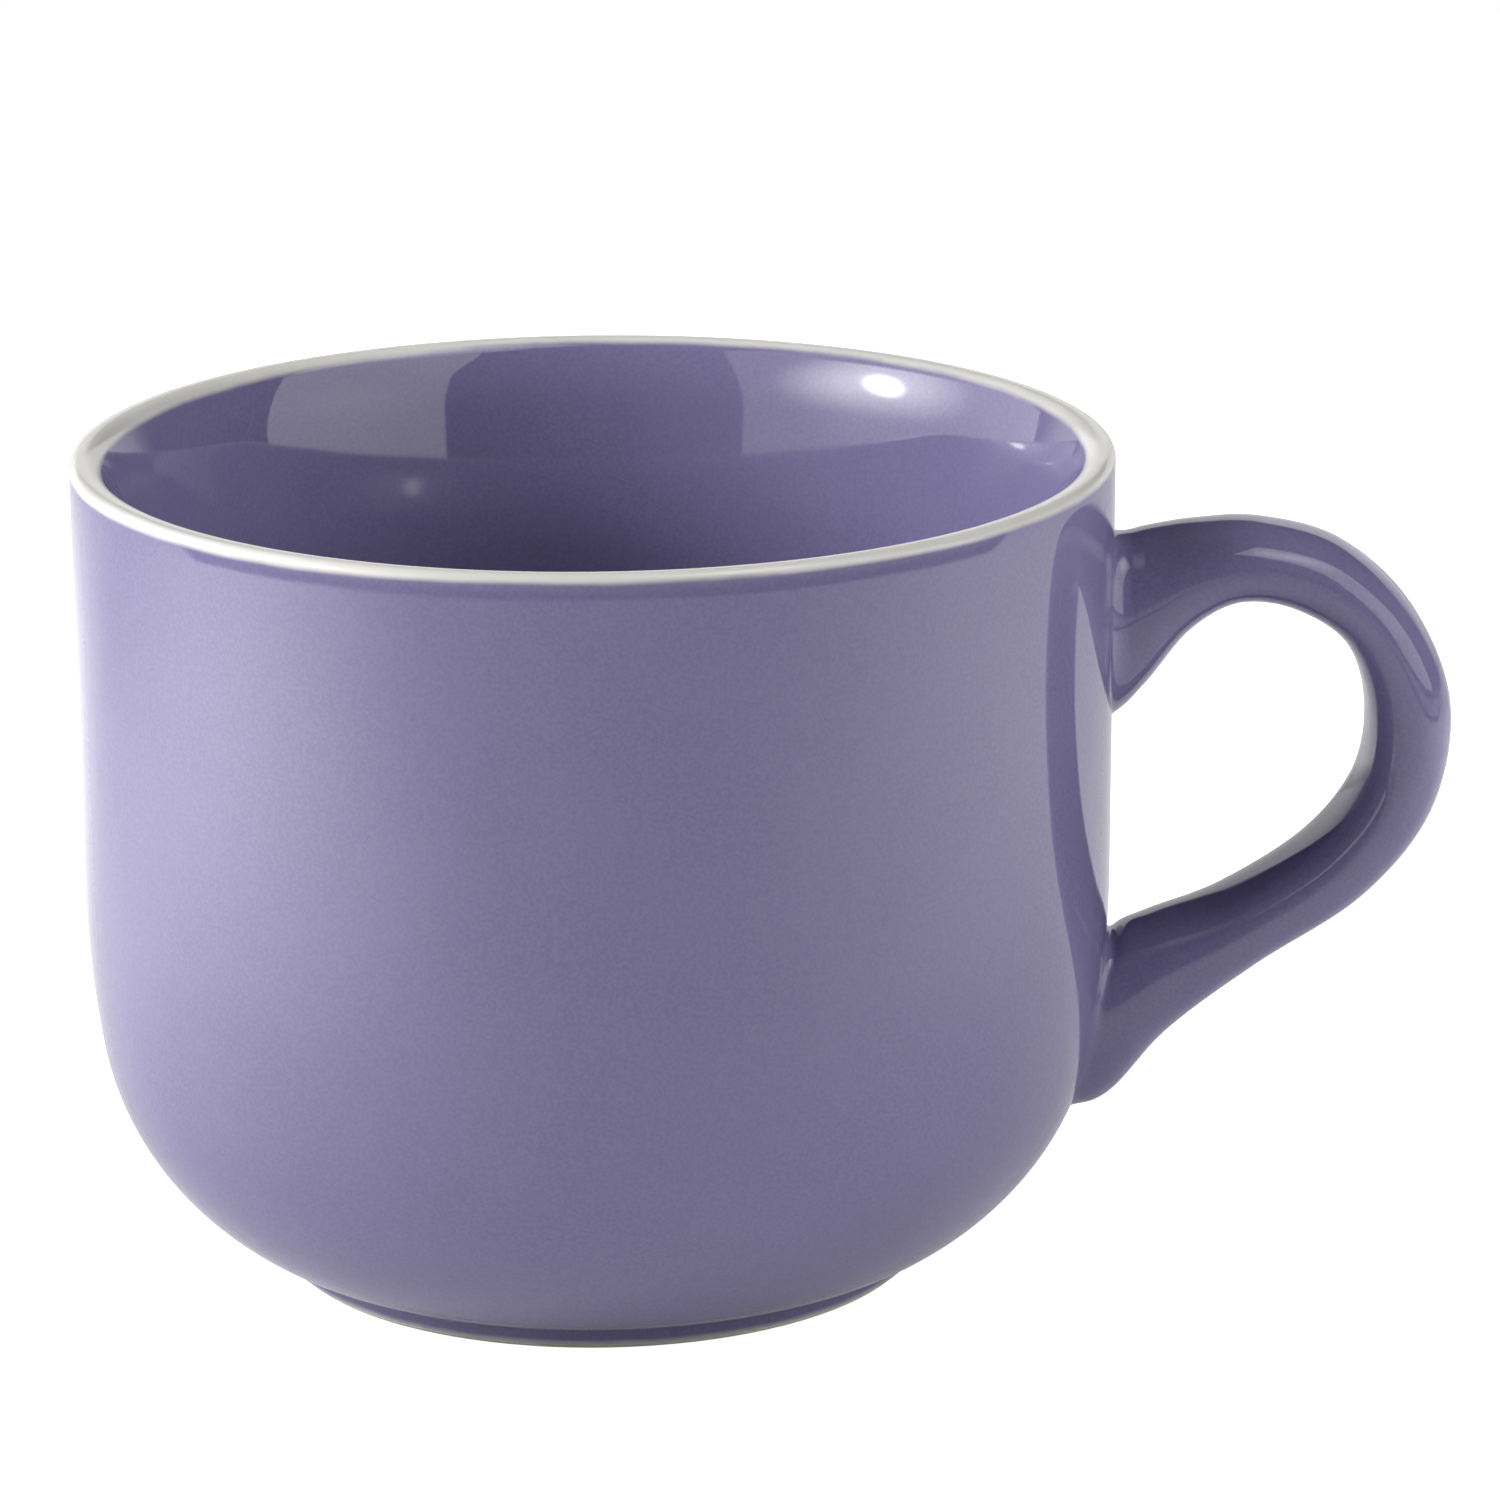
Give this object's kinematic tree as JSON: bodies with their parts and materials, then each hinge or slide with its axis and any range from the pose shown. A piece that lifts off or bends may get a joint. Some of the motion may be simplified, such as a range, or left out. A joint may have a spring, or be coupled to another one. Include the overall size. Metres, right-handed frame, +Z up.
{
  "type": "soup mug",
  "caption": "Wide round-bottomed stoneware soup mug with a loop handle luted to its side, a turned foot ring, lilac glaze inside and out and a white lip.",
  "frame": {"origin": "on the bowl's axis, in the plane of the foot ring's resting face", "axes": "+Z up along the bowl's axis, +X from the axis towards the handle"},
  "size_m": [0.1527, 0.115, 0.0923],
  "materials": {
    "clay": "matt",
    "lilac_glaze": "gloss",
    "white_glaze": "gloss"
  },
  "bodies": {
    "root": {"bowl": "clay", "handle": "clay", "upper_slip_joint": "lilac_glaze", "lower_slip_joint": "lilac_glaze", "outside_glaze": "lilac_glaze", "inside_glaze": "lilac_glaze", "rim_glaze": "white_glaze", "handle_glaze": "lilac_glaze", "base_glaze": "lilac_glaze"}
  },
  "joints": []
}
